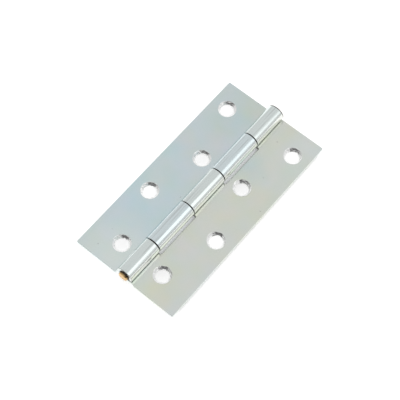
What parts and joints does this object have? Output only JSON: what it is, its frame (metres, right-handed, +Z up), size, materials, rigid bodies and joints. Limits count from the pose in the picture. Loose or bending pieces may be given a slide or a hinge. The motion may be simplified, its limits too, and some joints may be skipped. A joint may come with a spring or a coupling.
{
  "type": "narrow butt hinge",
  "caption": "Narrow pressed-steel butt hinge: flat leaves with staggered countersunk screw holes, rolled into knuckles round a brass-coloured pin, for light doors and lids.",
  "frame": {"origin": "on the leaves' back plane, under the middle of the pin", "axes": "+X across the leaves towards the three-knuckle leaf, +Y along the pin, +Z up from the back"},
  "size_m": [0.0516, 0.1014, 0.0081],
  "materials": {
    "zinc_plated_steel": "bright zinc plating with a faintly iridescent clear passivate",
    "brass": "plain drawn wire with cropped, tapered ends"
  },
  "bodies": {
    "fixed_leaf": {"three_knuckle_leaf": "zinc_plated_steel", "pin": "brass"},
    "moving_leaf": {"two_knuckle_leaf": "zinc_plated_steel"}
  },
  "joints": [
    {"name": "leaf_swing", "type": "hinge", "parent": "fixed_leaf", "child": "moving_leaf", "pos_m": [0, 0, 0.00403], "axis": [0, 1, 0], "range_deg": [-85, 190]}
  ]
}
